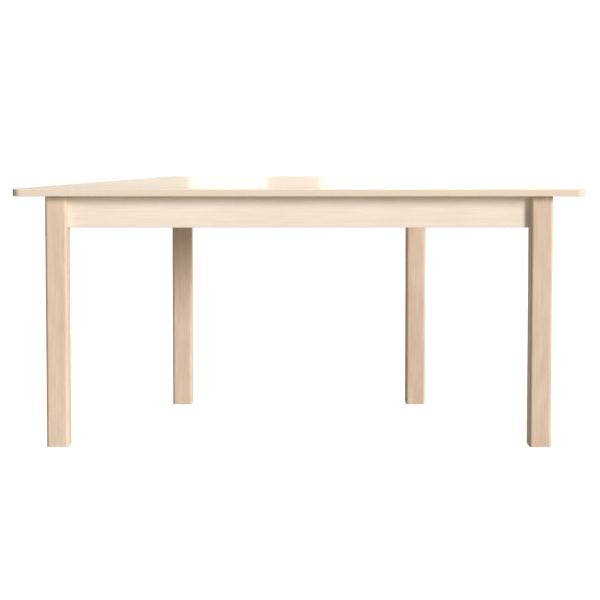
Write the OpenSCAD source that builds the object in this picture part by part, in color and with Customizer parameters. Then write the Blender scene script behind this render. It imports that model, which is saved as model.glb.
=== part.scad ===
// Trapezoid table: a rounded, laminated half-hexagon top on a bolted frame of
// four square legs and four aprons.  Millimetres, +Z up.  The origin is on the
// floor under the middle of the top's bounding box.  The long edge faces -Y.

/* [Top] */
// Length of the long edge, between its sharp corners
long_side = 1600; // [1200:10:1800]
// Length of the short edge, between its sharp corners
short_side = 800; // [700:10:900]
// Angle between the long edge and a slanted edge
base_angle = 60; // [55:1:65]
// Height of the top surface above the floor
height = 720; // [460:10:760]
// Thickness of the particle board core
core_t = 18; // [15:1:25]
// Thickness of the laminate on each face of the core
laminate_t = 0.8; // [0.6:0.1:1.2]
// Radius of the top's corners in plan
corner_r = 25; // [15:1:40]
// Thickness of the edge band
band_t = 3; // [2:0.5:4]
// Radius of the edge band's upper and lower arrises
arris_r = 2.5; // [1:0.5:3]

/* [Legs] */
// Width of a square leg
leg_w = 60; // [50:1:70]
// Radius of a leg's upright edges
leg_r = 8; // [3:1:10]
// Width over the front pair of legs
front_leg_span = 1396; // [1380:1:1410]
// Width over the rear pair of legs
rear_leg_span = 796; // [780:1:810]
// Distance from the long edge to the front legs
front_overhang = 40; // [30:1:50]
// Distance from the short edge to the rear legs
rear_overhang = 30; // [20:1:40]
// How much of a leg's inner corner is planed away for its bolt
flat_depth = 8; // [7:0.5:9]

/* [Aprons] */
// Height of an apron
apron_h = 90; // [80:1:110]
// Thickness of an apron
apron_t = 20; // [18:1:22]
// Distance from a slanted edge to the face of the apron beside it
side_inset = 56; // [54:1:58]

/* [Corner blocks] */
// Height of a corner block
block_h = 60; // [50:1:70]
// Thickness of a corner block along its bolt
block_t = 28; // [24:1:32]
// Greatest half width of a corner block
block_half_w = 62; // [56:1:66]
// Gap between a leg's flat and its corner block
block_gap = 6; // [4:1:8]

/* [Fasteners] */
// Diameter of a hanger bolt
bolt_d = 8; // [6:1:10]
// Length of a hanger bolt
bolt_len = 90; // [86:1:96]
// Length of a hanger bolt inside its leg
bolt_embed = 43; // [38:1:44]
// Diameter of a dowel
dowel_d = 8; // [6:1:10]
// Length of a dowel
dowel_len = 50; // [40:1:50]
// Diameter of a wood screw
screw_d = 4; // [3.5:0.5:4.5]
// Length of a corner block screw
block_screw_len = 35; // [34:1:37]
// Length of a bracket screw
bracket_screw_len = 16; // [13:1:16]

/* [Brackets] */
// Length of each flange of a bracket
bracket_leg = 30; // [26:1:36]
// Width of a bracket
bracket_w = 25; // [20:1:30]
// Thickness of a bracket's steel
bracket_t = 2; // [1.5:0.5:2.5]

/* [Glides] */
// Thickness of a glide
glide_t = 3; // [3:0.5:5]
// Diameter of a glide
glide_d = 38; // [30:1:44]

/* [Hidden] */
$fn = 64;

// Colours of the materials
birch = [0.87, 0.78, 0.68];
pale_birch = [0.95, 0.89, 0.82];
chipboard = [0.72, 0.60, 0.45];
backing = [0.90, 0.87, 0.82];
block_wood = [0.84, 0.72, 0.58];
dowel_wood = [0.82, 0.69, 0.53];
zinc = [0.75, 0.76, 0.78];
plastic = [0.62, 0.60, 0.57];

// Plan of the top
slant = 90 - base_angle;
depth = (long_side - short_side) / 2 * tan(base_angle);
top_t = core_t + 2 * laminate_t;
leg_top = height - top_t;
cut = 1; // how far a cutting tool runs past a face

// Half width of the sharp-cornered plan at y, and the same moved in by a distance
function slant_x(y) = long_side / 2 - (y + depth / 2) * tan(slant);
function slant_x_in(y, distance) = slant_x(y) - distance / cos(slant);

// Centres of the rounded corners on the right
front_arc = [slant_x_in(corner_r - depth / 2, corner_r), corner_r - depth / 2];
rear_arc = [slant_x_in(depth / 2 - corner_r, corner_r), depth / 2 - corner_r];

// Centres of the legs on the right
front_leg = [(front_leg_span - leg_w) / 2, front_overhang + (leg_w - depth) / 2];
rear_leg = [(rear_leg_span - leg_w) / 2, (depth - leg_w) / 2 - rear_overhang];

// Side apron on the right: its centre line's x at y, its half width along X, and its ends
side_half_x = apron_t / 2 / cos(slant);
side_front_y = front_leg[1] + leg_w / 2;
side_rear_y = rear_leg[1] - leg_w / 2;
side_ends = [side_front_y, side_rear_y];
function side_x(y) = slant_x_in(y, side_inset + apron_t / 2);

// Heights shared by the joints of the frame
apron_mid_z = leg_top - apron_h / 2;
dowel_pitch = 56;
block_screw_pitch = 32;
dowel_zs = [for (end = [-1, 1]) apron_mid_z + end * dowel_pitch / 2];
screw_zs = [for (end = [-1, 1]) apron_mid_z + end * block_screw_pitch / 2];
glue_gap = 1; // at each end of a dowel
dowel_hole_len = dowel_len + 2 * glue_gap;

// A corner of the frame: [where the aprons' inner faces meet, direction of the bolt,
// half the angle between the aprons, leg centre]
front_corner = [
  [side_x(front_leg[1] + apron_t / 2) - side_half_x, front_leg[1] + apron_t / 2],
  180 - base_angle / 2, base_angle / 2, front_leg
];
rear_corner = [
  [side_x(rear_leg[1] - apron_t / 2) - side_half_x, rear_leg[1] - apron_t / 2],
  270 - base_angle / 2, 90 - base_angle / 2, rear_leg
];

corners = [front_corner, rear_corner];
sides = [-1, 1];

// Distances along a corner's bolt, from where the aprons' inner faces meet
function direction(corner) = [cos(corner[1]), sin(corner[1])];
function leg_reach(corner) = leg_w / 2 * (abs(cos(corner[1])) + abs(sin(corner[1])));
function flat_at(corner) =
  leg_reach(corner) - flat_depth - direction(corner) * (corner[0] - corner[3]);
function block_at(corner) = flat_at(corner) + block_gap;
function block_end(corner) = block_at(corner) + block_t;

// Hardware
bolt_tip = 8;
bolt_bevel = 1;
bolt_clearance_d = bolt_d + 1;
washer_d = 24;
washer_t = 1.6;
nut_width = 13;
nut_t = 6.5;
screw_tip = 4;
screw_head_d = 8;
screw_head_t = 2.6;
screw_slot_len = 4;
screw_slot_w = 1;
screw_slot_depth = 1.6;
screw_clearance_d = screw_d + 0.5;
screw_counterbore_d = screw_head_d + 1;
screw_angle = 30; // between a block screw and its bolt
screw_run = 20; // of a block screw inside its block, along the bolt
screw_seat = 3; // of a block screw's head below the block's face
bracket_bend_r = 3;
bracket_hole_at = 18;
slot_len = 10;
slot_d = 5;
glide_bevel = 1;
glide_pocket_d = 7;
glide_pocket = 1.5;
nail_d = 2.5;
nail_len = 18;
nail_tip = 3;
nail_head_d = 6;
nail_head_t = 1;

// Positions of the brackets along each apron
front_bracket_xs = [-450, -150, 150, 450];
rear_bracket_xs = [-180, 180];
side_bracket_xs = [-130, 130];

// Draws its children on the right for 1, or mirrored to the left for -1
module on_side(side) {
  mirror([side < 0 ? 1 : 0, 0, 0]) children();
}

// Puts its children at a corner of the frame on the right, with +X along the bolt
module at_corner(corner) {
  translate([corner[0][0], corner[0][1], apron_mid_z]) rotate([0, 0, corner[1]]) children();
}

// ---- Top ----

// Plan of the top on the 2D plane, moved in from its edge by a distance
module plan(inset) {
  r = corner_r - inset;
  to_side = [r * cos(slant), r * sin(slant)];
  right = [
    front_arc + [0, -r], front_arc + to_side,
    rear_arc + to_side, rear_arc + [0, r]
  ];
  left = [for (i = [3:-1:0]) [-right[i][0], right[i][1]]];
  polygon(concat(right, left));
  for (centre = [front_arc, rear_arc], side = [-1, 1])
    translate([side * centre[0], centre[1]]) circle(r);
}

module board(inset, bottom, thickness) {
  translate([0, 0, bottom]) linear_extrude(thickness) plan(inset);
}

// Board under the top laminate, with holes for the screws that hold the top down
module drilled_board(bottom, thickness) {
  difference() {
    board(band_t, bottom, thickness);
    at_every_bracket() at_top_screw() screw_bore(bracket_screw_len, screw_d);
  }
}

// Upright disc for a corner of the top, with rounded arrises
module corner_disc() {
  rotate_extrude($fn = 72) {
    square([corner_r - arris_r, top_t]);
    translate([0, arris_r]) square([corner_r, top_t - 2 * arris_r]);
    for (z = [arris_r, top_t - arris_r])
      translate([corner_r - arris_r, z]) circle(arris_r, $fn = 24);
  }
}

module tabletop_core() { color(chipboard) drilled_board(leg_top + laminate_t, core_t); }
module underside_laminate() { color(backing) drilled_board(leg_top, laminate_t); }
module top_laminate() { color(pale_birch) board(band_t, height - laminate_t, laminate_t); }

// One strip round the board and its laminates, flush with both faces
module edge_band() {
  color(pale_birch) difference() {
    hull() for (side = sides, centre = [front_arc, rear_arc])
      translate([side * centre[0], centre[1], leg_top]) corner_disc();
    board(band_t, leg_top - cut, top_t + 2 * cut);
  }
}

// ---- Legs ----

// Square with rounded corners, centred on the 2D plane
module rounded_square(width, r) {
  square([width - 2 * r, width], center = true);
  square([width, width - 2 * r], center = true);
  for (x = [-1, 1], y = [-1, 1]) translate([x, y] * (width / 2 - r)) circle(r);
}

// Leg on the right, with its flat, its bolt and dowel holes, and its glide's nail hole
module leg(corner, side_apron_end) {
  centre = corner[3];
  difference() {
    translate([centre[0], centre[1], glide_t])
      linear_extrude(leg_top - glide_t) rounded_square(leg_w, leg_r);
    at_corner(corner) {
      translate([flat_at(corner), -leg_w / 2, -apron_h / 2])
        cube([leg_w, leg_w, apron_h + cut]);
      translate([flat_at(corner) - bolt_embed, 0, 0]) rotate([0, 90, 0])
        cylinder(d = bolt_d, h = bolt_embed + cut);
    }
    straight_dowels(centre, dowel_hole_len);
    side_dowels(side_apron_end, dowel_hole_len);
    translate([centre[0], centre[1], glide_t - cut])
      cylinder(d = nail_d, h = glide_pocket + nail_len - glide_t + cut);
  }
}

module leg_front_left() { color(birch) on_side(-1) leg(front_corner, side_front_y); }
module leg_front_right() { color(birch) on_side(1) leg(front_corner, side_front_y); }
module leg_rear_left() { color(birch) on_side(-1) leg(rear_corner, side_rear_y); }
module leg_rear_right() { color(birch) on_side(1) leg(rear_corner, side_rear_y); }

// ---- Dowels ----

// Two dowels, or their holes, between a leg on the right and the apron along X
module straight_dowels(centre, length) {
  for (z = dowel_zs) translate([centre[0] - leg_w / 2, centre[1], z])
    rotate([0, 90, 0]) cylinder(d = dowel_d, h = length, center = true);
}

// Two dowels, or their holes, at the end of the right side apron that is at y
module side_dowels(y, length) {
  for (z = dowel_zs) translate([side_x(y), y, z])
    rotate([90, 0, slant]) cylinder(d = dowel_d, h = length, center = true);
}

// The four dowels of a front or rear apron
module straight_apron_dowels(centre) {
  color(dowel_wood) for (side = sides) on_side(side) straight_dowels(centre, dowel_len);
}

// The four dowels of a side apron
module side_apron_dowels(side) {
  color(dowel_wood) for (y = side_ends) on_side(side) side_dowels(y, dowel_len);
}

module front_apron_dowels() { straight_apron_dowels(front_leg); }
module rear_apron_dowels() { straight_apron_dowels(rear_leg); }
module left_apron_dowels() { side_apron_dowels(-1); }
module right_apron_dowels() { side_apron_dowels(1); }

// ---- Aprons ----

// Apron along X between a pair of legs, less the bracket screw holes given as children
module straight_apron(centre) {
  half = centre[0] - leg_w / 2;
  difference() {
    translate([-half, centre[1] - apron_t / 2, leg_top - apron_h])
      cube([2 * half, apron_t, apron_h]);
    for (side = sides) on_side(side) straight_dowels(centre, dowel_hole_len);
    every_block_screw() screw_bore(block_screw_len, screw_d);
    children();
  }
}

// Apron along a slanted edge, its ends cut to meet the legs' faces
module side_apron(side) {
  difference() {
    on_side(side) difference() {
      translate([0, 0, leg_top - apron_h]) linear_extrude(apron_h) polygon([
        for (i = [0, 1], edge = i == 0 ? [-1, 1] : [1, -1])
          [side_x(side_ends[i]) + edge * side_half_x, side_ends[i]]
      ]);
      for (y = side_ends) side_dowels(y, dowel_hole_len);
    }
    every_block_screw() screw_bore(block_screw_len, screw_d);
    at_side_brackets(side) at_apron_screw() screw_bore(bracket_screw_len, screw_d);
  }
}

module apron_front() {
  color(pale_birch) straight_apron(front_leg)
    at_front_brackets() at_apron_screw() screw_bore(bracket_screw_len, screw_d);
}

module apron_rear() {
  color(pale_birch) straight_apron(rear_leg)
    at_rear_brackets() at_apron_screw() screw_bore(bracket_screw_len, screw_d);
}

module apron_left() { color(pale_birch) side_apron(-1); }
module apron_right() { color(pale_birch) side_apron(1); }

// ---- Corner blocks ----

// Wedge between two aprons, with its bolt hole and counterbored screw holes
module corner_block(side, corner) {
  far = block_end(corner);
  half = far * tan(corner[2]);
  color(block_wood) on_side(side) difference() {
    at_corner(corner) difference() {
      intersection() {
        translate([0, 0, -block_h / 2]) linear_extrude(block_h)
          polygon([[0, 0], [far, -half], [far, half]]);
        translate([block_at(corner), -block_half_w, -block_h])
          cube([block_t + cut, 2 * block_half_w, 2 * block_h]);
      }
      translate([block_at(corner) - cut, 0, 0]) rotate([0, 90, 0])
        cylinder(d = bolt_clearance_d, h = block_t + 2 * cut);
    }
    at_block_screws(corner) {
      screw_bore(block_screw_len, screw_clearance_d);
      cylinder(d = screw_counterbore_d, h = block_t);
    }
  }
}

module corner_block_front_left() { corner_block(-1, front_corner); }
module corner_block_front_right() { corner_block(1, front_corner); }
module corner_block_rear_left() { corner_block(-1, rear_corner); }
module corner_block_rear_right() { corner_block(1, rear_corner); }

// ---- Hanger bolts ----

// Turned hardware lies along +X, the way its bolt points
module along_x(x) {
  translate([x, 0, 0]) rotate([0, 90, 0]) children();
}

module hanger_bolt() {
  rotate_extrude() polygon([
    [0, 0], [bolt_d / 2, bolt_tip], [bolt_d / 2, bolt_len - bolt_bevel],
    [bolt_d / 2 - bolt_bevel, bolt_len], [0, bolt_len]
  ]);
}

module bolt_washer() {
  difference() {
    cylinder(d = washer_d, h = washer_t);
    translate([0, 0, -cut]) cylinder(d = bolt_d, h = washer_t + 2 * cut);
  }
}

module bolt_nut() {
  difference() {
    cylinder(d = nut_width / cos(30), h = nut_t, $fn = 6);
    translate([0, 0, -cut]) cylinder(d = bolt_d, h = nut_t + 2 * cut);
  }
}

module hanger_bolts() {
  color(zinc) for (side = sides, corner = corners)
    on_side(side) at_corner(corner) along_x(flat_at(corner) - bolt_embed) hanger_bolt();
}

module bolt_washers() {
  color(zinc) for (side = sides, corner = corners)
    on_side(side) at_corner(corner) along_x(block_end(corner)) bolt_washer();
}

module bolt_nuts() {
  color(zinc) for (side = sides, corner = corners)
    on_side(side) at_corner(corner) along_x(block_end(corner) + washer_t) bolt_nut();
}

// ---- Screws ----

// Pan head screw along -Z, with the underside of its head at z = 0
module screw(length) {
  difference() {
    rotate_extrude() polygon([
      [0, -length], [screw_d / 2, screw_tip - length], [screw_d / 2, 0],
      [screw_head_d / 2, 0], [screw_head_d / 2, screw_head_t / 2],
      [screw_head_d / 3, screw_head_t], [0, screw_head_t]
    ]);
    for (turn = [0, 90]) rotate([0, 0, turn])
      translate([-screw_slot_len / 2, -screw_slot_w / 2, screw_head_t - screw_slot_depth])
        cube([screw_slot_len, screw_slot_w, screw_slot_depth + cut]);
  }
}

// Hole for a screw along -Z
module screw_bore(length, d) {
  translate([0, 0, -length]) cylinder(d = d, h = length + cut);
}

// Puts its children at a corner block's four screws, two towards each apron
module at_block_screws(corner) {
  entry = (block_end(corner) - screw_run) * tan(corner[2]) - screw_run * tan(screw_angle);
  at_corner(corner) for (side = sides, z = screw_zs)
    translate([block_end(corner), side * entry, z - apron_mid_z])
      rotate([0, 0, -side * screw_angle]) along_x(-screw_seat) children();
}

module every_block_screw() {
  for (side = sides, corner = corners) on_side(side) at_block_screws(corner) children();
}

module block_screws() { color(zinc) every_block_screw() screw(block_screw_len); }
module bracket_apron_screws() {
  color(zinc) at_every_bracket() at_apron_screw() screw(bracket_screw_len);
}
module bracket_top_screws() {
  color(zinc) at_every_bracket() at_top_screw() screw(bracket_screw_len);
}

// ---- Brackets ----

// Puts its children at each bracket of an apron: the origin is on the apron's inner
// face, under the top, with +X along the apron and +Y inwards
module at_front_brackets() {
  translate([0, front_leg[1] + apron_t / 2, leg_top])
    for (x = front_bracket_xs) translate([x, 0, 0]) children();
}

module at_rear_brackets() {
  translate([0, rear_leg[1] - apron_t / 2, leg_top]) rotate([0, 0, 180])
    for (x = rear_bracket_xs) translate([x, 0, 0]) children();
}

module at_side_brackets(side) {
  y = (side_ends[0] + side_ends[1]) / 2;
  on_side(side) translate([side_x(y) - side_half_x, y, leg_top]) rotate([0, 0, 90 + slant])
    for (x = side_bracket_xs) translate([x, 0, 0]) children();
}

module at_every_bracket() {
  at_front_brackets() children();
  at_rear_brackets() children();
  for (side = sides) at_side_brackets(side) children();
}

// Places of a bracket's two screws
module at_apron_screw() {
  translate([0, bracket_t, -bracket_hole_at]) rotate([-90, 0, 0]) children();
}

module at_top_screw() {
  translate([0, bracket_hole_at, -bracket_t]) rotate([180, 0, 0]) children();
}

// Section of a bracket: two flanges and the bend between them
module bracket_section() {
  translate([0, -bracket_leg]) square([bracket_t, bracket_leg - bracket_bend_r]);
  translate([bracket_bend_r, -bracket_t]) square([bracket_leg - bracket_bend_r, bracket_t]);
  translate([bracket_bend_r, -bracket_bend_r]) intersection() {
    difference() {
      circle(bracket_bend_r);
      circle(bracket_bend_r - bracket_t);
    }
    translate([-bracket_bend_r, 0]) square(bracket_bend_r);
  }
}

// Steel angle bracket, with a round hole to the apron and a slot to the top
module bracket() {
  difference() {
    rotate([90, 0, 90]) linear_extrude(bracket_w, center = true) bracket_section();
    at_apron_screw() cylinder(d = slot_d, h = 4 * bracket_t, center = true);
    at_top_screw() {
      for (x = sides) translate([x * (slot_len - slot_d) / 2, 0, 0])
        cylinder(d = slot_d, h = 4 * bracket_t, center = true);
      cube([slot_len - slot_d, slot_d, 4 * bracket_t], center = true);
    }
  }
}

module front_top_brackets() { color(zinc) at_front_brackets() bracket(); }
module rear_top_brackets() { color(zinc) at_rear_brackets() bracket(); }
module left_top_brackets() { color(zinc) at_side_brackets(-1) bracket(); }
module right_top_brackets() { color(zinc) at_side_brackets(1) bracket(); }

// ---- Glides ----

// Puts its children on the floor under a leg
module under_leg(side, corner) {
  translate([side * corner[3][0], corner[3][1], 0]) children();
}

// Plastic disc with a bevelled rim and a pocket for its nail's head
module glide(side, corner) {
  color(plastic) under_leg(side, corner) difference() {
    rotate_extrude() polygon([
      [0, 0], [glide_d / 2 - glide_bevel, 0], [glide_d / 2, glide_bevel],
      [glide_d / 2, glide_t], [0, glide_t]
    ]);
    translate([0, 0, -cut]) cylinder(d = nail_d, h = glide_t + 2 * cut);
    translate([0, 0, -cut]) cylinder(d = glide_pocket_d, h = glide_pocket + cut);
  }
}

// Nail along +Z, with the top of its head's flange at z = 0
module nail() {
  rotate_extrude() polygon([
    [0, -nail_head_t], [nail_head_d / 2, -nail_head_t], [nail_head_d / 2, 0],
    [nail_d / 2, 0], [nail_d / 2, nail_len - nail_tip], [0, nail_len]
  ]);
}

module glide_front_left() { glide(-1, front_corner); }
module glide_front_right() { glide(1, front_corner); }
module glide_rear_left() { glide(-1, rear_corner); }
module glide_rear_right() { glide(1, rear_corner); }

module glide_nails() {
  color(zinc) for (side = sides, corner = corners)
    under_leg(side, corner) translate([0, 0, glide_pocket]) nail();
}

tabletop_core();
top_laminate();
underside_laminate();
edge_band();
leg_front_left();
leg_front_right();
leg_rear_left();
leg_rear_right();
apron_front();
apron_rear();
apron_left();
apron_right();
corner_block_front_left();
corner_block_front_right();
corner_block_rear_left();
corner_block_rear_right();
hanger_bolts();
bolt_washers();
bolt_nuts();
block_screws();
front_apron_dowels();
rear_apron_dowels();
left_apron_dowels();
right_apron_dowels();
front_top_brackets();
rear_top_brackets();
left_top_brackets();
right_top_brackets();
bracket_apron_screws();
bracket_top_screws();
glide_front_left();
glide_front_right();
glide_rear_left();
glide_rear_right();
glide_nails();
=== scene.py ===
"""Looks for the communion table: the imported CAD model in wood, laminate and zinc, in a white studio.

Everything is in metres, in the frame of the CAD model: the origin is on the floor under the middle
of the table, +Z is up and the long edge of the top faces -Y.
"""

import math
import random
import bmesh
import bpy
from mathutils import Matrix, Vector


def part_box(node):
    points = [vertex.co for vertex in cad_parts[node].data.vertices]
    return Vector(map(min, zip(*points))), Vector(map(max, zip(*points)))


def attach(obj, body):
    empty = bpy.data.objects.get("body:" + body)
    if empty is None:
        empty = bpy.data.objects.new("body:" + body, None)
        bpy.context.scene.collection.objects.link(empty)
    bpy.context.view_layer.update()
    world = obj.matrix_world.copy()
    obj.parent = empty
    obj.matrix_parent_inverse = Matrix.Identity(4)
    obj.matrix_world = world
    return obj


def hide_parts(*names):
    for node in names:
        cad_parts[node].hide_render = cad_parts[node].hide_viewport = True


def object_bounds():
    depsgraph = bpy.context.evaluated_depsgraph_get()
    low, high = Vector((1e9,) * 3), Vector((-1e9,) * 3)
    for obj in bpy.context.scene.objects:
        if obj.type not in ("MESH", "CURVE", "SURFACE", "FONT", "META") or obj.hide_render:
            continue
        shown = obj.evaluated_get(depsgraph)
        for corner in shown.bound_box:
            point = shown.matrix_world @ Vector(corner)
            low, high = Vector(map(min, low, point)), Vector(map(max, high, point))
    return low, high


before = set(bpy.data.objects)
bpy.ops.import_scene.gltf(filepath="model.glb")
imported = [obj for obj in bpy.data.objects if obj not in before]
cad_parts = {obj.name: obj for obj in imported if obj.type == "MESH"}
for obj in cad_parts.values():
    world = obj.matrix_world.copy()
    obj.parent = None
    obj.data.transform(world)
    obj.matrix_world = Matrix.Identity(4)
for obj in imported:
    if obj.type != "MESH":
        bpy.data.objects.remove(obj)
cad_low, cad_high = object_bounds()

MM = 0.001
BODY = "root"

# ---------------------------------------------------------------- plan of the top, as in the CAD model

BASE_ANGLE = math.radians(60)  # between the long edge and a slanted edge
CORNER_R = 25 * MM
ARRIS_R = 2.5 * MM
BAND_T = 3 * MM
CORNER_STEPS = 28  # facets in a quarter turn of a rounded corner
ARRIS_STEPS = 6  # facets in the quarter turn of an arris

band_low, band_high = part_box("edge_band")


def plan_corners():
    """(arc centre, start angle, end angle) of the rounded corners, anticlockwise from front right."""
    slant = math.pi / 2 - BASE_ANGLE  # the slanted edges lean this far from the Y axis
    front_y, rear_y = band_low.y + CORNER_R, band_high.y - CORNER_R
    front_x = band_high.x - CORNER_R
    rear_x = front_x - (rear_y - front_y) * math.tan(slant)
    down, left, right, up = -math.pi / 2, math.pi - slant, slant, math.pi / 2
    return [
        (Vector((front_x, front_y)), down, right),
        (Vector((rear_x, rear_y)), right, up),
        (Vector((-rear_x, rear_y)), up, left),
        (Vector((-front_x, front_y)), left, down + 2 * math.pi),
    ]


def plan_rays():
    """(arc centre, outward direction) at every vertex of the rounded outline, in order."""
    rays = []
    for centre, start, end in plan_corners():
        steps = round(CORNER_STEPS * (end - start) / (math.pi / 2))
        for i in range(steps + 1):
            angle = start + (end - start) * i / steps
            rays.append((centre, Vector((math.cos(angle), math.sin(angle)))))
    return rays


# ---------------------------------------------------------------- mesh helpers

SHARP_ANGLE = math.radians(35)  # an edge that turns by more is a corner of the shape
FLAT_ANGLE = math.radians(0.4)  # faces that meet at less are one flat face
WELD = 0.005 * MM
SHORTEST_EDGE = 0.002 * MM
LONG_EDGE = 50 * MM  # a shorter edge never gets the wide round
PARALLEL = 0.999  # cosine of the angle at which an edge still counts as parallel


def add_piece(name, bm, node):
    """Makes the piece, rides it on the body and lets it stand for its CAD node."""
    mesh = bpy.data.meshes.new(name)
    bmesh.ops.recalc_face_normals(bm, faces=bm.faces)
    for face in bm.faces:
        face.smooth = True
    for edge in bm.edges:
        edge.smooth = len(edge.link_faces) == 2 and edge.calc_face_angle(0) < SHARP_ANGLE
    bm.to_mesh(mesh)
    bm.free()
    piece = bpy.data.objects.new(name, mesh)
    bpy.context.scene.collection.objects.link(piece)
    weighted = piece.modifiers.new("Flat faces stay flat", "WEIGHTED_NORMAL")
    weighted.keep_sharp = True
    weighted.weight = 100
    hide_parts(node)
    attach(piece, BODY)
    return piece


def node_bmesh(node):
    """A clean copy of a CAD node: welded, with its flat faces whole again."""
    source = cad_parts[node].data
    bm = bmesh.new()
    verts = [bm.verts.new(v.co) for v in source.vertices]
    for polygon in source.polygons:
        corners = [verts[i] for i in polygon.vertices]
        if len(set(corners)) == len(corners):
            bm.faces.new(corners)
    bmesh.ops.remove_doubles(bm, verts=bm.verts, dist=WELD)
    bmesh.ops.dissolve_degenerate(bm, edges=bm.edges, dist=SHORTEST_EDGE)
    bmesh.ops.dissolve_limit(bm, angle_limit=FLAT_ANGLE, verts=bm.verts, edges=bm.edges)
    return bm


def sharp_edges(bm, along=None, shortest=0.0):
    """The corners of the shape, or only those along a direction and at least as long as asked."""
    found = []
    for edge in bm.edges:
        if len(edge.link_faces) != 2 or edge.calc_face_angle(0) < SHARP_ANGLE:
            continue
        span = edge.verts[1].co - edge.verts[0].co
        if span.length < shortest:
            continue
        if along is not None and abs(span.normalized().dot(along)) < PARALLEL:
            continue
        found.append(edge)
    return found


def soften(bm, edges, width, segments):
    bmesh.ops.bevel(
        bm, geom=edges, offset=width, offset_type="OFFSET", segments=segments,
        profile=0.5, clamp_overlap=True, affect="EDGES",
    )


def refined(name, node, width, segments=2, long_width=None, along=None):
    """A CAD node with softened edges; its long edges may have a wider round than the rest."""
    bm = node_bmesh(node)
    if long_width:
        soften(bm, sharp_edges(bm, along, LONG_EDGE), long_width, segments=4)
    soften(bm, sharp_edges(bm), width, segments)
    return add_piece(name, bm, node)


def islands(node):
    """The vertices of each separate solid in a CAD node."""
    bm = node_bmesh(node)
    left = set(bm.verts)
    found = []
    for first in list(bm.verts):
        if first not in left:
            continue
        left.discard(first)
        group, queue = [], [first]
        while queue:
            vert = queue.pop()
            group.append(vert.co.copy())
            for edge in vert.link_edges:
                other = edge.other_vert(vert)
                if other in left:
                    left.discard(other)
                    queue.append(other)
        found.append(group)
    bm.free()
    return found


# ---------------------------------------------------------------- edge band and top laminate

LAMINATE_EASE = 0.18 * MM  # on the sheet's upper arris: its joint with the band is a fine line


def band_section():
    """(distance in from the outline, height) round the band's section, from its lower inner corner."""
    low, high = band_low.z, band_high.z
    section = [(BAND_T, low)]
    for i in range(ARRIS_STEPS + 1):
        turn = math.pi / 2 * i / ARRIS_STEPS
        section.append((ARRIS_R * (1 - math.sin(turn)), low + ARRIS_R * (1 - math.cos(turn))))
    for i in range(ARRIS_STEPS + 1):
        turn = math.pi / 2 * i / ARRIS_STEPS
        section.append((ARRIS_R * (1 - math.cos(turn)), high - ARRIS_R * (1 - math.sin(turn))))
    section.append((BAND_T, high))
    return section


def outline_row(bm, depth, height):
    """Vertices round the top, this far in from its outline and at this height."""
    row = []
    for centre, ray in plan_rays():
        place = centre + ray * (CORNER_R - depth)
        row.append(bm.verts.new((place.x, place.y, height)))
    return row


def running_length(points):
    """How far along a closed loop each point lies, ending with the loop's whole length."""
    lengths = [0.0]
    for here, there in zip(points, points[1:] + points[:1]):
        lengths.append(lengths[-1] + (there - here).length)
    return lengths


def make_band():
    """One strip round the top, with its arrises rounded and a UV map that runs along it."""
    bm = bmesh.new()
    uv = bm.loops.layers.uv.new("strip")
    section = band_section()
    along = running_length([centre + ray * CORNER_R for centre, ray in plan_rays()])
    girth = running_length([Vector(point) for point in section])
    rows = [outline_row(bm, depth, height) for depth, height in section]
    for k, row in enumerate(rows):
        after = rows[(k + 1) % len(rows)]
        for i in range(len(row)):
            j = (i + 1) % len(row)
            face = bm.faces.new((row[i], row[j], after[j], after[i]))
            corners = ((i, k), (i + 1, k), (i + 1, k + 1), (i, k + 1))
            for loop, (u, v) in zip(face.loops, corners):
                loop[uv].uv = (along[u], girth[v])
    return add_piece("Edge_band", bm, "edge_band")


def make_top_laminate():
    """The sheet inside the band."""
    low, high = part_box("top_laminate")
    bm = bmesh.new()
    levels = [(0.0, low.z), (0.0, high.z - LAMINATE_EASE), (LAMINATE_EASE, high.z)]
    rows = [outline_row(bm, BAND_T + inset, height) for inset, height in levels]
    for lower, upper in zip(rows, rows[1:]):
        for i in range(len(lower)):
            j = (i + 1) % len(lower)
            bm.faces.new((lower[i], lower[j], upper[j], upper[i]))
    bm.faces.new(list(reversed(rows[0])))
    bm.faces.new(rows[-1])
    return add_piece("Top_laminate", bm, "top_laminate")


band = make_band()
top = make_top_laminate()

# ---------------------------------------------------------------- legs, aprons and blocks

LEG_EASE = 0.8 * MM
APRON_EASE = 1.6 * MM  # along the grain
APRON_END_EASE = 0.3 * MM
BLOCK_EASE = 0.7 * MM

LEGS = ["front_left", "front_right", "rear_left", "rear_right"]
slant_x, slant_y = math.cos(BASE_ANGLE), math.sin(BASE_ANGLE)
APRON_GRAIN = {
    "front": Vector((1, 0, 0)),
    "rear": Vector((1, 0, 0)),
    "left": Vector((slant_x, slant_y, 0)),
    "right": Vector((-slant_x, slant_y, 0)),
}

legs = {place: refined("Leg_" + place, "leg_" + place, LEG_EASE) for place in LEGS}
aprons = {
    place: refined(
        "Apron_" + place, "apron_" + place, APRON_END_EASE, segments=1,
        long_width=APRON_EASE, along=grain,
    )
    for place, grain in APRON_GRAIN.items()
}
blocks = {
    place: refined("Corner_block_" + place, "corner_block_" + place, BLOCK_EASE)
    for place in LEGS
}

# ---------------------------------------------------------------- hardware

BOLT_R = 4 * MM
BOLT_LEN = 90 * MM
BOLT_TIP = 8 * MM
BOLT_BEVEL = 1 * MM
BOLT_GAP = (43 * MM, 49 * MM)  # from its tip, the part of a bolt in the open between leg and block
BOLT_BLOCK_END = 77 * MM  # from its tip, where it leaves the block
BOLT_SIDES = 24
THREAD_PITCH = 1.25 * MM
THREAD_DEPTH = 0.7 * MM
THREAD_STEPS = 8  # rings in a pitch
THREAD_CREST, THREAD_FLANK = 0.12, 0.62  # half the crest's width and a flank's, in half pitches

NUT_EASE = 0.4 * MM
WASHER_EASE = 0.25 * MM
BRACKET_EASE = 0.35 * MM
SCREW_EASE = 0.12 * MM
GLIDE_EASE = 0.3 * MM


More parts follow.
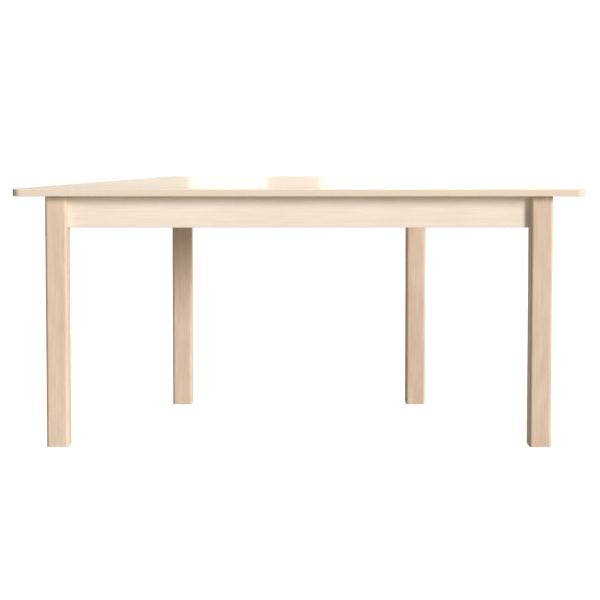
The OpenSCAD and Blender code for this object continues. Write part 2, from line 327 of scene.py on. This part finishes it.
def bolt_stations():
    """(distance from the tip, radius, thread depth) of the rings along a hanger bolt."""
    stations = [(BOLT_TIP, BOLT_R, 0.0), (BOLT_GAP[0] - THREAD_PITCH, BOLT_R, 0.0)]
    step = THREAD_PITCH / THREAD_STEPS
    for start, end in (BOLT_GAP, (BOLT_BLOCK_END, BOLT_LEN - BOLT_BEVEL)):
        for i in range(round((end - start) / step) + 1):
            stations.append((start + i * step, BOLT_R, THREAD_DEPTH))
    stations.append((BOLT_LEN, BOLT_R - BOLT_BEVEL, 0.0))
    return stations


def thread_profile(turns):
    """Depth of a metric thread, 0 at its crest and 1 at its root, a number of turns along it."""
    phase = abs(2 * (turns - math.floor(turns)) - 1)
    return min(1.0, max(0.0, (phase - THREAD_CREST) / THREAD_FLANK))


def add_hanger_bolt(bm, tip, axis):
    """One bolt, from its tip along its axis, threaded where it is in the open."""
    side = axis.cross(Vector((0, 0, 1))).normalized()
    up = side.cross(axis)
    rows = []
    for along, radius, depth in bolt_stations():
        row = []
        for k in range(BOLT_SIDES):
            turn = k / BOLT_SIDES
            r = radius - depth * thread_profile(along / THREAD_PITCH - turn)
            ray = side * math.cos(2 * math.pi * turn) + up * math.sin(2 * math.pi * turn)
            row.append(bm.verts.new(tip + axis * along + ray * r))
        rows.append(row)
    point = bm.verts.new(tip)
    for k in range(BOLT_SIDES):
        n = (k + 1) % BOLT_SIDES
        bm.faces.new((point, rows[0][k], rows[0][n]))
        for lower, upper in zip(rows, rows[1:]):
            bm.faces.new((lower[k], upper[k], upper[n], lower[n]))
    bm.faces.new(rows[-1])


def make_hanger_bolts():
    """The four bolts, each in the place of its CAD solid, whose tip is furthest from its middle."""
    bm = bmesh.new()
    for solid in islands("hanger_bolts"):
        centre = sum(solid, Vector()) / len(solid)
        tip = max(solid, key=lambda point: (point - centre).length)
        add_hanger_bolt(bm, tip, (centre - tip).normalized())
    return add_piece("Hanger_bolts", bm, "hanger_bolts")


hanger_bolts = make_hanger_bolts()
nuts = refined("Bolt_nuts", "bolt_nuts", NUT_EASE)
washers = refined("Bolt_washers", "bolt_washers", WASHER_EASE)
brackets = [
    refined(side.capitalize() + "_brackets", side + "_top_brackets", BRACKET_EASE)
    for side in ("front", "rear", "left", "right")
]
fasteners = [
    refined(node.capitalize(), node, SCREW_EASE, segments=1)
    for node in ("block_screws", "bracket_apron_screws", "bracket_top_screws", "glide_nails")
]
glides = [refined("Glide_" + place, "glide_" + place, GLIDE_EASE) for place in LEGS]

# ---------------------------------------------------------------- material helpers


def linear(red, green, blue):
    """A display colour, 0 to 255, as the linear colour that shaders use."""

    def channel(value):
        value /= 255
        return value / 12.92 if value <= 0.04045 else ((value + 0.055) / 1.055) ** 2.4

    return (channel(red), channel(green), channel(blue), 1.0)


def toned(colour, factor):
    """A colour made darker by a factor below 1."""
    return tuple(value * factor for value in colour[:3]) + (1.0,)


def tinted(colour, tint):
    """A colour multiplied by a tint, no channel over 1."""
    return tuple(min(1.0, x * y) for x, y in zip(colour, tint)) + (1.0,)


class Shader:
    """A node material under construction; a value is a number, a colour or another node's output."""

    def __init__(self, name):
        self.material = bpy.data.materials.new(name)
        self.material.use_nodes = True
        self.tree = self.material.node_tree
        self.tree.nodes.clear()
        self.output = self.tree.nodes.new("ShaderNodeOutputMaterial")
        self.surface = self.tree.nodes.new("ShaderNodeBsdfPrincipled")
        self.tree.links.new(self.surface.outputs[0], self.output.inputs["Surface"])

    def put(self, socket, value):
        """Links an output to the socket, or sets a constant on it."""
        if isinstance(value, bpy.types.NodeSocket):
            self.tree.links.new(value, socket)
        else:
            socket.default_value = value

    def node(self, kind, inputs, output=0, **settings):
        """Adds a node and returns one of its outputs."""
        made = self.tree.nodes.new(kind)
        for key, value in settings.items():
            setattr(made, key, value)
        for key, value in inputs.items():
            self.put(made.inputs[key], value)
        return made.outputs[output]

    def math(self, operation, a, b=0.0):
        return self.node("ShaderNodeMath", {0: a, 1: b}, operation=operation)

    def scale(self, value, factor):
        return self.math("MULTIPLY", value, factor)

    def add(self, *values):
        total = values[0]
        for value in values[1:]:
            total = self.math("ADD", total, value)
        return total

    def hypotenuse(self, a, b):
        return self.math("SQRT", self.add(self.scale(a, a), self.scale(b, b)))

    def vector(self, operation, a, b):
        return self.node("ShaderNodeVectorMath", {0: a, 1: b}, operation=operation)

    def dot(self, a, b):
        return self.node("ShaderNodeVectorMath", {0: a, 1: b}, output=1, operation="DOT_PRODUCT")

    def place(self):
        """The point on the object, in metres."""
        return self.node("ShaderNodeTexCoord", {}, output="Object")

    def noise(self, vector, stretch, detail=2.0, rough=0.5):
        """Noise from about -0.5 to 0.5; stretch is its number of features in a metre on each axis."""
        place = self.vector("MULTIPLY", vector, stretch)
        value = self.node(
            "ShaderNodeTexNoise",
            {"Vector": place, "Scale": 1.0, "Detail": detail, "Roughness": rough},
        )
        return self.math("SUBTRACT", value, 0.5)

    def noise_along(self, value):
        """Noise from about -0.5 to 0.5 that changes along a single value."""
        noise = self.node("ShaderNodeTexNoise", {"W": value, "Detail": 3.0}, noise_dimensions="1D")
        return self.math("SUBTRACT", noise, 0.5)

    def chance(self, value):
        """A random number from 0 to 1 for each whole step of a value."""
        step = self.math("FLOOR", value)
        return self.node("ShaderNodeTexWhiteNoise", {"W": step}, noise_dimensions="1D")

    def cells(self, vector, stretch):
        """A random number from 0 to 1 for each cell, with this many cells in a metre on each axis."""
        place = self.vector("MULTIPLY", vector, stretch)
        tint = self.node("ShaderNodeTexVoronoi", {"Vector": place, "Scale": 1.0}, output=1)
        return self.node("ShaderNodeSeparateColor", {0: tint})

    def range(self, value, low, high, to_low=0.0, to_high=1.0, smooth=True):
        """The value brought from one range to another, and held inside it."""
        return self.node(
            "ShaderNodeMapRange",
            {"Value": value, "From Min": low, "From Max": high, "To Min": to_low, "To Max": to_high},
            interpolation_type="SMOOTHSTEP" if smooth else "LINEAR",
        )

    def mix(self, factor, a, b):
        made = self.tree.nodes.new("ShaderNodeMix")
        made.data_type = "RGBA"
        self.put(made.inputs["Factor"], factor)
        self.put(made.inputs[6], a)
        self.put(made.inputs[7], b)
        return made.outputs[2]

    def bump(self, height, depth, strength):
        return self.node("ShaderNodeBump", {"Height": height, "Distance": depth, "Strength": strength})

    def finish(self, colour, roughness, normal, **constants):
        """Connects the surface; the constants are set straight on its own sockets."""
        self.put(self.surface.inputs["Base Color"], colour)
        self.put(self.surface.inputs["Roughness"], roughness)
        self.put(self.surface.inputs["Normal"], normal)
        for key, value in constants.items():
            self.surface.inputs[key.replace("_", " ")].default_value = value
        return self.material


def give(piece, material):
    """The piece shows this material only."""
    piece.data.materials.clear()
    piece.data.materials.append(material)


def repaint(node, material):
    """A CAD node keeps its mesh and shows this material."""
    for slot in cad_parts[node].material_slots:
        slot.material = material


# In the wood and the prints below, tone, roughness and relief are each a sum of layers, and a layer
# is a share of one noise. The tone mixes the light colour with the dark one.
TONE_LOW, TONE_HIGH = -0.1, 1.1  # the sums that give all light and all dark

# ---------------------------------------------------------------- solid wood


def in_log(shader, draw, grain, centre):
    """Place in the log that a piece is cut from: away from its pith, aside, and along the grain."""
    grain = Vector(grain).normalized()
    side = grain.orthogonal().normalized()
    turn = math.radians(draw.uniform(0, 360))
    away = side * math.cos(turn) + grain.cross(side) * math.sin(turn)
    place = shader.vector("SUBTRACT", shader.place(), centre)
    return [shader.dot(place, axis) for axis in (away, grain.cross(away), grain)]


def growth_rings(shader, seeded, away, aside, pith, ring):
    """Late wood, early wood and the slow change over the years, round a pith outside the piece."""
    wander = shader.scale(shader.noise(seeded, (9, 9, 1.3)), 26 * MM)
    ripple = shader.scale(shader.noise(seeded, (70, 70, 5)), 2.2 * MM)
    radius = shader.hypotenuse(shader.math("SUBTRACT", away, pith), aside)
    rings = shader.scale(shader.add(radius, wander, ripple), 1 / ring)
    inside = shader.math("FRACT", rings)
    year = shader.chance(rings)
    late = shader.scale(shader.math("POWER", inside, 5.0), shader.range(year, 0.15, 1.0, 0.15, 1.0))
    early = shader.scale(shader.range(inside, 0.0, 0.12, 1.0, 0.0), shader.scale(year, 0.25))
    return late, early, shader.noise_along(shader.scale(rings, 0.33))


def wood(
    name, seed, light, dark, grain, centre, ring=2.6 * MM, figure=1.0,
    roughness=0.46, coat=0.14, relief=0.05 * MM,
):
    """Solid pale hardwood under clear lacquer; ring is a year's growth, figure how much it shows."""
    draw = random.Random(seed)
    shader = Shader(name)
    away, aside, along = in_log(shader, draw, grain, centre)
    plank = shader.node("ShaderNodeCombineXYZ", {0: away, 1: aside, 2: along})
    shift = tuple(draw.uniform(-0.4, 0.4) for _ in range(3))
    seeded = shader.vector("ADD", plank, shift)
    pith = draw.uniform(75, 120) * MM
    late, early, years = growth_rings(shader, seeded, away, aside, pith, ring)

    fibre = shader.noise(seeded, (420, 420, 9), 3.0, 0.6)
    fine = shader.noise(seeded, (1500, 1500, 34), 2.0, 0.6)
    pores = shader.range(shader.noise(seeded, (1300, 1300, 46), 1.0), 0.13, 0.24)
    fleck = shader.range(shader.noise(seeded, (520, 520, 95), 0.0), 0.2, 0.28)
    flash = shader.noise(seeded, (70, 70, 13))  # where the grain rises to the face
    drift = shader.noise(seeded, (7, 7, 2.2))

    tone = shader.add(
        0.36,
        shader.scale(late, 0.16 * figure),
        shader.scale(early, 0.2 * figure),
        shader.scale(years, 1.15 * figure),
        shader.scale(fibre, 0.95),
        shader.scale(fine, 0.4),
        shader.scale(pores, 0.26),
        shader.scale(fleck, 0.16),
        shader.scale(flash, 0.8 * figure),
        shader.scale(drift, 0.7),
    )
    tone = shader.range(tone, TONE_LOW, TONE_HIGH, smooth=False)
    plain = shader.mix(tone, light, dark)
    warm = shader.mix(tone, tinted(light, (1.02, 0.965, 0.90)), dark)
    colour = shader.mix(shader.range(drift, -0.1, 0.3, 0.0, 0.45), plain, warm)

    smear = shader.noise(seeded, (14, 14, 6), 3.0)
    shine = shader.add(
        roughness, shader.scale(fine, 0.10), shader.scale(pores, 0.12), shader.scale(smear, 0.10)
    )
    height = shader.add(
        shader.scale(fibre, 0.6), shader.scale(fine, 0.7),
        shader.scale(pores, -0.8), shader.scale(late, 0.15),
    )
    return shader.finish(
        colour, shine, shader.bump(height, relief, 0.7),
        Specular_IOR_Level=0.05, Coat_Weight=coat, Coat_Roughness=0.30,
    )


def middle(node):
    low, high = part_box(node)
    return (low + high) / 2


LEG_LIGHT, LEG_DARK = linear(237, 213, 189), linear(204, 174, 148)
# each leg is of slightly different wood; the rear two are also darker by painted shade, for the shadow
# of the top that falls on them
LEG_TONE_AND_SHADE = {"front_left": 0.99, "front_right": 0.96, "rear_left": 0.91, "rear_right": 0.87}
APRON_LIGHT, APRON_DARK = linear(251, 236, 222), linear(228, 209, 191)
BLOCK_LIGHT, BLOCK_DARK = linear(214, 190, 158), linear(176, 146, 112)
# the first seed of each kind; every leg, apron and block is from a log of its own
LEG_SEED, APRON_SEED, BLOCK_SEED, DOWEL_SEED = 11, 31, 51, 71

for number, (place, piece) in enumerate(legs.items()):
    # the factor darkens each leg's colours; for the rear legs it is mostly painted shade
    light, dark = toned(LEG_LIGHT, LEG_TONE_AND_SHADE[place]), toned(LEG_DARK, LEG_TONE_AND_SHADE[place])
    give(piece, wood(
        "Wood_leg_" + place, LEG_SEED + number, light, dark, (0, 0, 1), middle("leg_" + place),
    ))
for number, (place, piece) in enumerate(aprons.items()):
    give(piece, wood(
        "Wood_apron_" + place, APRON_SEED + number, APRON_LIGHT, APRON_DARK, APRON_GRAIN[place],
        middle("apron_" + place), ring=3.4 * MM, figure=0.55,
    ))
for number, (place, piece) in enumerate(blocks.items()):
    give(piece, wood(
        "Wood_block_" + place, BLOCK_SEED + number, BLOCK_LIGHT, BLOCK_DARK, (1, 0, 0),
        middle("corner_block_" + place), ring=2.2 * MM, figure=1.3,
        roughness=0.62, coat=0.0, relief=0.08 * MM,
    ))
dowel_wood = wood(
    "Wood_dowel", DOWEL_SEED, BLOCK_LIGHT, BLOCK_DARK, (1, 0, 0), Vector((0, 0, 0)),
    roughness=0.6, coat=0.0,
)
for place in APRON_GRAIN:
    repaint(place + "_apron_dowels", dowel_wood)

# ---------------------------------------------------------------- laminate and edge band

LEAF_W = 182 * MM  # width of a veneer leaf in the print; the leaves run along X
LEAF_PITH = 34 * MM  # how far behind the face the pith of a leaf's log lies
LEAF_RING = 4.2 * MM


def birch_laminate(name, seed, light, dark, roughness, coat, relief):
    """Birch print of veneer leaves side by side, under the satin texture of a press plate."""
    draw = random.Random(seed)
    shader = Shader(name)
    place = shader.place()
    leaves = shader.scale(shader.node("ShaderNodeSeparateXYZ", {0: place}, output=1), 1 / LEAF_W)
    leaf = shader.chance(shader.add(leaves, float(seed)))
    shift = shader.node(
        "ShaderNodeCombineXYZ",
        {0: shader.scale(leaf, 9.0), 1: shader.scale(leaf, 3.0), 2: draw.uniform(1, 9)},
    )
    seeded = shader.vector("ADD", place, shift)

    # crown figure: rings round a pith behind each leaf, near its middle
    crown = shader.range(leaf, 0, 1, 0.3, 0.7)
    aside = shader.scale(shader.math("SUBTRACT", shader.math("FRACT", leaves), crown), LEAF_W)
    bow = shader.scale(shader.noise(seeded, (1.5, 8, 1)), 60 * MM)
    ripple = shader.scale(shader.noise(seeded, (6, 60, 1)), 5 * MM)
    radius = shader.add(shader.hypotenuse(aside, LEAF_PITH), bow, ripple)
    rings = shader.scale(radius, 1 / LEAF_RING)
    late = shader.scale(
        shader.math("POWER", shader.math("FRACT", rings), 4.0),
        shader.range(shader.chance(rings), 0.2, 1.0, 0.1, 1.0),
    )
    years = shader.noise_along(shader.scale(rings, 0.3))

    fibre = shader.noise(seeded, (8, 380, 1), 3.0, 0.6)
    fine = shader.noise(seeded, (32, 1400, 1), 2.0, 0.6)
    fleck = shader.range(shader.noise(seeded, (85, 620, 1), 0.0), 0.19, 0.28)
    flash = shader.noise(seeded, (18, 40, 1))
    drift = shader.noise(seeded, (1.6, 5, 1))
    tone = shader.add(
        0.34,
        shader.scale(late, 0.26),
        shader.scale(years, 0.6),
        shader.scale(shader.math("SUBTRACT", leaf, 0.5), 0.16),
        shader.scale(fibre, 0.5),
        shader.scale(fine, 0.35),
        shader.scale(fleck, 0.2),
        shader.scale(flash, 0.22),
        shader.scale(drift, 0.4),
    )
    colour = shader.mix(shader.range(tone, TONE_LOW, TONE_HIGH, smooth=False), light, dark)
    smear = shader.noise(place, (5, 5, 5), 4.0, 0.65)
    peel = shader.noise(place, (240, 240, 240))
    shine = shader.add(roughness, shader.scale(fine, 0.05), shader.scale(smear, 0.09))
    height = shader.add(shader.scale(fine, 0.5), shader.scale(fibre, 0.5), shader.scale(peel, 0.6))
    return shader.finish(
        colour, shine, shader.bump(height, relief, 0.5), Specular_IOR_Level=0.0,
        Coat_Weight=coat, Coat_Roughness=0.2, Coat_IOR=1.8,
    )


def birch_band(light, dark):
    """The same print on the edge band, drawn along the strip by the strip's own map."""
    shader = Shader("Band_birch")
    strip = shader.node("ShaderNodeUVMap", {}, uv_map="strip")
    girth = shader.node("ShaderNodeSeparateXYZ", {0: strip}, output=1)
    warp = shader.scale(shader.noise(strip, (3, 12, 1)), 12 * MM)
    lines = shader.noise_along(shader.scale(shader.add(girth, warp), 420.0))
    fibre = shader.noise(strip, (9, 900, 1), 3.0, 0.6)
    fine = shader.noise(strip, (40, 2200, 1), 2.0, 0.6)
    dash = shader.range(shader.noise(strip, (70, 1500, 1), 0.0), 0.18, 0.27)
    drift = shader.noise(strip, (2.5, 20, 1))
    tone = shader.add(
        0.4,
        shader.scale(lines, 0.7),
        shader.scale(fibre, 0.5),
        shader.scale(fine, 0.35),
        shader.scale(dash, 0.25),
        shader.scale(drift, 0.45),
    )
    colour = shader.mix(shader.range(tone, TONE_LOW, TONE_HIGH, smooth=False), light, dark)
    smear = shader.noise(strip, (12, 60, 1), 3.0)
    shine = shader.add(0.36, shader.scale(fine, 0.06), shader.scale(smear, 0.08))
    height = shader.add(shader.scale(fine, 0.5), shader.scale(fibre, 0.6))
    return shader.finish(
        colour, shine, shader.bump(height, 0.02 * MM, 0.6),
        Specular_IOR_Level=0.16, Coat_Weight=0.06, Coat_Roughness=0.2,
    )


TOP_LIGHT, TOP_DARK = linear(242, 228, 211), linear(222, 204, 184)
BAND_LIGHT, BAND_DARK = linear(247, 229, 210), linear(219, 197, 176)
BACKING_LIGHT, BACKING_DARK = linear(232, 222, 206), linear(212, 198, 178)
TOP_SEED, BACKING_SEED = 5, 8

give(top, birch_laminate(
    "Laminate_top", TOP_SEED, TOP_LIGHT, TOP_DARK, roughness=0.42, coat=0.2, relief=0.012 * MM,
))
give(band, birch_band(BAND_LIGHT, BAND_DARK))
repaint("underside_laminate", birch_laminate(
    "Laminate_underside", BACKING_SEED, BACKING_LIGHT, BACKING_DARK,
    roughness=0.6, coat=0.0, relief=0.02 * MM,
))

# ---------------------------------------------------------------- core, steel and plastic


def particle_board(light, dark):
    """Raw particle board: pressed chips of several tones, with open grain between them."""
    shader = Shader("Particle_board")
    place = shader.place()
    chips = shader.cells(place, (260, 420, 900))
    grit = shader.noise(place, (900, 900, 900), 3.0)
    colour = shader.mix(shader.add(chips, shader.scale(grit, 0.3)), light, dark)
    height = shader.add(shader.scale(chips, 0.5), grit)
    rough = shader.add(0.85, shader.scale(grit, 0.2))
    return shader.finish(colour, rough, shader.bump(height, 0.2 * MM, 0.6))


def zinc_plate(name, colour, spangle, roughness, brushed):
    """Zinc plated steel, slightly clouded; brushed is the stretch of its fine handling marks."""
    shader = Shader(name)
    place = shader.place()
    cloud = shader.noise(place, (160, 160, 160), 3.0)
    grain = shader.math("SUBTRACT", shader.cells(place, (spangle, spangle, spangle)), 0.5)
    scratch = shader.noise(place, brushed, 2.0, 0.6)
    tint = shader.add(
        0.5, shader.scale(cloud, 0.7), shader.scale(grain, 0.25), shader.scale(scratch, 0.4)
    )
    dull = tinted(colour, (0.80, 0.79, 0.76))
    base = shader.mix(shader.range(tint, 0.0, 1.0, smooth=False), dull, colour)
    shine = shader.add(
        roughness, shader.scale(cloud, 0.2), shader.scale(grain, 0.10), shader.scale(scratch, 0.15)
    )
    height = shader.add(scratch, cloud)
    return shader.finish(base, shine, shader.bump(height, 0.01 * MM, 0.5), Metallic=1.0)


def moulded(name, colour, worn):
    """Moulded plastic with a spark-eroded texture and light wear."""
    shader = Shader(name)
    place = shader.place()
    spark = shader.noise(place, (1600, 1600, 1600))
    cloud = shader.noise(place, (90, 90, 90), 3.0)
    wear = shader.range(shader.add(cloud, shader.scale(spark, 0.4)), -0.3, 0.3)
    shine = shader.add(0.55, shader.scale(cloud, 0.15), shader.scale(spark, 0.1))
    base = shader.mix(wear, worn, colour)
    return shader.finish(base, shine, shader.bump(spark, 0.03 * MM, 0.6))


repaint("tabletop_core", particle_board(linear(206, 176, 134), linear(146, 112, 76)))
zinc = zinc_plate(
    "Zinc_plate", linear(205, 206, 207), spangle=900, roughness=0.32, brushed=(900, 900, 900)
)
bracket_zinc = zinc_plate(
    "Zinc_bracket", linear(190, 192, 195), spangle=420, roughness=0.40, brushed=(60, 60, 1600)
)
glide_plastic = moulded("Glide_plastic", linear(168, 158, 146), worn=linear(146, 136, 124))
for piece in (hanger_bolts, nuts, washers, *fasteners):
    give(piece, zinc)
for piece in brackets:
    give(piece, bracket_zinc)
for piece in glides:
    give(piece, glide_plastic)

# ---------------------------------------------------------------- camera

CAMERA_BACK = 3.88  # in front of the long edge
CAMERA_UP = 0.237  # above the table top
CAMERA_TILT = math.radians(2.883)  # downwards
CAMERA_LENS = 85.94  # in millimetres, as the sensor's width is
CAMERA_SHIFT = (0.0016, -0.21)

camera_y = cad_low.y - CAMERA_BACK
camera_data = bpy.data.cameras.new("Camera")
camera_data.sensor_width = 36.0
camera_data.lens = CAMERA_LENS
camera_data.shift_x, camera_data.shift_y = CAMERA_SHIFT
camera_data.clip_end = 1000
camera = bpy.data.objects.new("Camera", camera_data)
camera.location = (0, camera_y, cad_high.z + CAMERA_UP)
camera.rotation_euler = (math.pi / 2 - CAMERA_TILT, 0, 0)
bpy.context.scene.collection.objects.link(camera)
bpy.context.scene.camera = camera

# ---------------------------------------------------------------- studio

WHITE = (1, 1, 1, 1)
FLOOR_HALF = 400.0
FLOOR_DROP = 0.1 * MM  # the glides rest on the floor without sharing its plane
FLOOR_GREY = (0.22, 0.22, 0.22, 1)
FLOOR_BOUNCE = (0.92, 0.96, 0.87, 1)  # the light that comes up from the floor is a little olive
FLOOR_GLOW, WORLD_GLOW = 0.34, 0.06  # how strongly they light the table
FLOOR_GLOW_SEEN, WORLD_GLOW_SEEN = 0.96, 1.1  # how strongly they glow to the camera


def floor_white():
    """White to the camera, and a dimmer light to the table."""
    shader = Shader("Studio_white")
    seen = shader.node("ShaderNodeLightPath", {}, output="Is Camera Ray")
    glow = shader.node("ShaderNodeEmission", {
        "Color": shader.mix(seen, FLOOR_BOUNCE, WHITE),
        "Strength": shader.range(seen, 0, 1, FLOOR_GLOW, FLOOR_GLOW_SEEN, smooth=False),
    })
    matt = shader.node("ShaderNodeBsdfDiffuse", {"Color": FLOOR_GREY})
    both = shader.node("ShaderNodeAddShader", {0: glow, 1: matt})
    shader.put(shader.output.inputs["Surface"], both)
    shader.tree.nodes.remove(shader.surface)
    return shader.material


def make_floor():
    bm = bmesh.new()
    bmesh.ops.create_grid(bm, x_segments=2, y_segments=2, size=FLOOR_HALF)
    mesh = bpy.data.meshes.new("Studio_floor")
    bm.to_mesh(mesh)
    bm.free()
    floor = bpy.data.objects.new("Studio_floor", mesh)
    floor.location.z = cad_low.z - FLOOR_DROP
    bpy.context.scene.collection.objects.link(floor)
    give(floor, floor_white())


def make_world():
    """White to the camera, and only a little light to the table."""
    world = bpy.data.worlds.new("Studio")
    bpy.context.scene.world = world
    world.use_nodes = True
    tree = world.node_tree
    tree.nodes.clear()
    output = tree.nodes.new("ShaderNodeOutputWorld")
    path = tree.nodes.new("ShaderNodeLightPath")
    strength = tree.nodes.new("ShaderNodeMapRange")
    strength.inputs["To Min"].default_value = WORLD_GLOW
    strength.inputs["To Max"].default_value = WORLD_GLOW_SEEN
    background = tree.nodes.new("ShaderNodeBackground")
    background.inputs["Color"].default_value = WHITE
    tree.links.new(path.outputs["Is Camera Ray"], strength.inputs["Value"])
    tree.links.new(strength.outputs[0], background.inputs["Strength"])
    tree.links.new(background.outputs[0], output.inputs["Surface"])


KEY_TURN = math.radians(47)  # to the right of the camera's line
KEY_RISE = math.radians(14.3)
KEY_SPREAD = math.radians(20)
KEY_STRENGTH = 1.09 * math.pi


def make_key():
    """The key is a wide far lamp, so that both ends of the table are lit alike."""
    lamp = bpy.data.lights.new("Key", "SUN")
    lamp.energy = KEY_STRENGTH
    lamp.angle = KEY_SPREAD
    key = bpy.data.objects.new("Key", lamp)
    level = Vector((math.sin(KEY_TURN), -math.cos(KEY_TURN), 0))
    towards = level * math.cos(KEY_RISE) + Vector((0, 0, math.sin(KEY_RISE)))
    key.rotation_euler = towards.to_track_quat("Z", "Y").to_euler()
    key.visible_glossy = False  # no glare on the top from any side
    bpy.context.scene.collection.objects.link(key)


def softbox(name, place, aim, width, height, power):
    lamp = bpy.data.lights.new(name, "AREA")
    lamp.shape = "RECTANGLE"
    lamp.size, lamp.size_y = width, height
    lamp.energy = power
    box = bpy.data.objects.new(name, lamp)
    box.location = place
    box.rotation_euler = (Vector(place) - Vector(aim)).to_track_quat("Z", "Y").to_euler()
    box.visible_camera = False
    bpy.context.scene.collection.objects.link(box)
    return box


BACK_AWAY = 2.2
BACK_LOW, BACK_HIGH = 0.78, 1.75
BACK_BRIGHT, BACK_DIM = 3.4, 0.45  # radiance


def back_box(name, left, right, radiance):
    """A tall box behind the table; left and right are slopes of the camera's lines past its sides."""
    reach = BACK_AWAY - camera_y
    left, right, height = left * reach, right * reach, BACK_HIGH - BACK_LOW
    middle_x, middle_z = (left + right) / 2, (BACK_LOW + BACK_HIGH) / 2
    softbox(
        name, (middle_x, BACK_AWAY, middle_z), (middle_x, 0, middle_z), right - left, height,
        radiance * math.pi * (right - left) * height,
    )


make_floor()
make_world()
make_key()
# two bright boxes whose images lie in the satin top, and a dim one a little wider than the view
back_box("Back_left", -0.0768, -0.0225, BACK_BRIGHT)
back_box("Back_right", 0.0147, 0.24, BACK_BRIGHT)
back_box("Back_wide", -0.24, 0.24, BACK_DIM)
softbox("Overhead", (0.2, 0.2, 3.4), (0, 0, 0.7), width=2.6, height=1.6, power=66)
rear_fill = softbox("Rear_fill", (0.9, 3.6, 1.5), (0.2, 0, 0.4), width=1.4, height=1.4, power=45)
rear_fill.visible_glossy = False

bpy.context.scene.view_settings.view_transform = "Standard"
